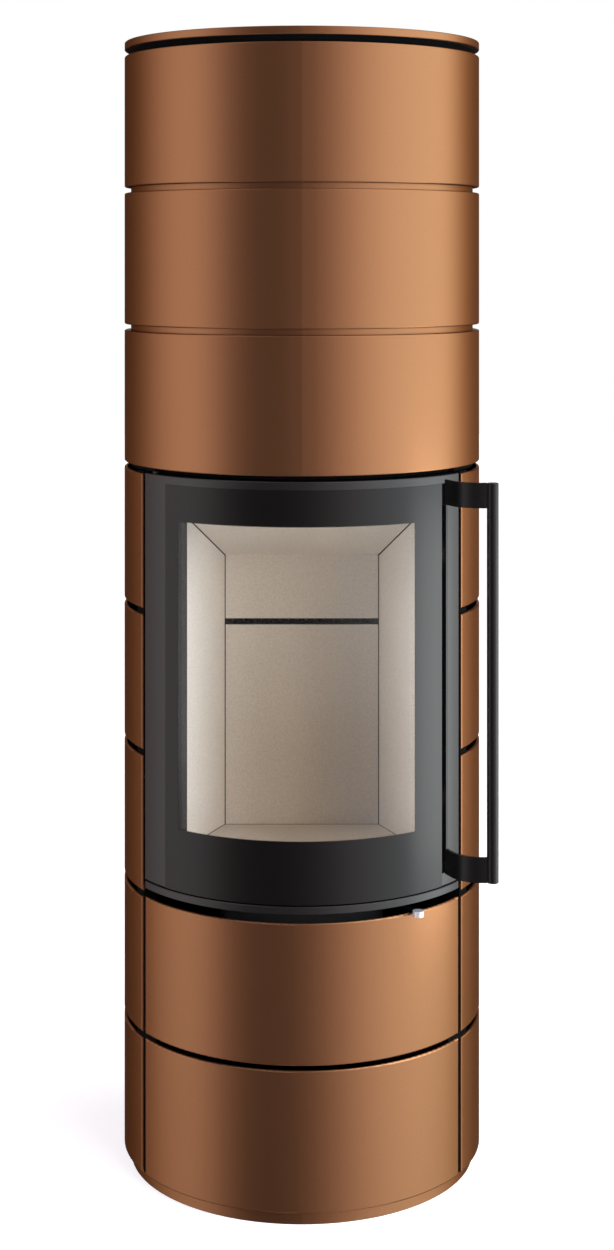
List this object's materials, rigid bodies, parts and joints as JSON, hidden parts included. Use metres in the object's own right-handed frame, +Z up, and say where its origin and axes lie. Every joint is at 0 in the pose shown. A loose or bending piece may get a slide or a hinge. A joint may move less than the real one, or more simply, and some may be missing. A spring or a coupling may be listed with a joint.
{
  "type": "wood stove",
  "caption": "Tall round wood stove clad in bronze bands, with a curved glass door that swings on the left, a long bar handle, a swinging air lever and a flue socket in the top.",
  "frame": {"origin": "on the stove's vertical axis, at floor level", "axes": "+Z up, -Y out of the door, +X to the right of somebody facing the door"},
  "size_m": [0.5092, 0.5, 1.56],
  "materials": {
    "bronze": "satin metallic bronze",
    "black_steel": "satin heat-proof black",
    "mild_steel": "matt grey-black",
    "bright_steel": "turned",
    "liner_board": "pale pressed board",
    "chrome": "polished",
    "glass": "polished curved pane",
    "storage_stone": "cast stone",
    "rope_seal": "braided black glass rope"
  },
  "bodies": {
    "stove": {"air_bar": "mild_steel", "air_box": "mild_steel", "air_inlet": "mild_steel", "air_riser": "mild_steel", "baffle": "liner_board", "base_plate": "mild_steel", "deck_plate": "black_steel", "firebox_back": "mild_steel", "firebox_front": "black_steel", "firebox_left": "mild_steel", "firebox_right": "mild_steel", "firebox_top": "mild_steel", "flue_socket": "mild_steel", "flue_tube": "mild_steel", "front_panel_lower": "bronze", "front_panel_upper": "bronze", "groove_rings": "bronze", "heat_shields": "mild_steel", "latch_keepers": "mild_steel", "levelling_feet": "bright_steel", "lever_pivot": "bright_steel", "liner_back_lower": "liner_board", "liner_back_upper": "liner_board", "liner_floor": "liner_board", "liner_left": "liner_board", "liner_right": "liner_board", "plinth_ring": "bronze", "post_front_left": "black_steel", "post_front_right": "black_steel", "post_rear_left": "black_steel", "post_rear_right": "black_steel", "rear_panel": "black_steel", "ring_lower": "bronze", "ring_middle": "bronze", "ring_upper": "bronze", "shelf_plate": "mild_steel", "side_panel_left_1": "bronze", "side_panel_left_2": "bronze", "side_panel_left_3": "bronze", "side_panel_left_4": "bronze", "side_panel_left_5": "bronze", "side_panel_right_1": "bronze", "side_panel_right_2": "bronze", "side_panel_right_3": "bronze", "side_panel_right_4": "bronze", "side_panel_right_5": "bronze", "sill_strip": "black_steel", "storage_stones": "storage_stone", "top_plate": "bronze", "top_spacer": "black_steel"},
    "door": {"door_frame": "black_steel", "door_glass": "glass", "glass_gasket": "rope_seal", "door_gasket": "rope_seal", "hinge_pins": "bright_steel"},
    "handle": {"lock_shaft": "bright_steel", "handle_plate": "black_steel", "handle_grip": "black_steel"},
    "air_control": {"air_lever": "mild_steel", "air_knob": "chrome"}
  },
  "joints": [
    {"name": "door_swing", "type": "hinge", "parent": "stove", "child": "door", "pos_m": [-0.19731, -0.13309, 0.6927], "axis": [0, 0, -1], "range_deg": [0, 110]},
    {"name": "handle_pull", "type": "hinge", "parent": "door", "child": "handle", "pos_m": [0.18375, -0.14408, 0.6885], "axis": [0, 0, -1], "range_deg": [0, 8]},
    {"name": "air_swing", "type": "hinge", "parent": "stove", "child": "air_control", "pos_m": [0, 0, 0.3967], "axis": [0, 0, -1], "range_deg": [0, 72]}
  ]
}
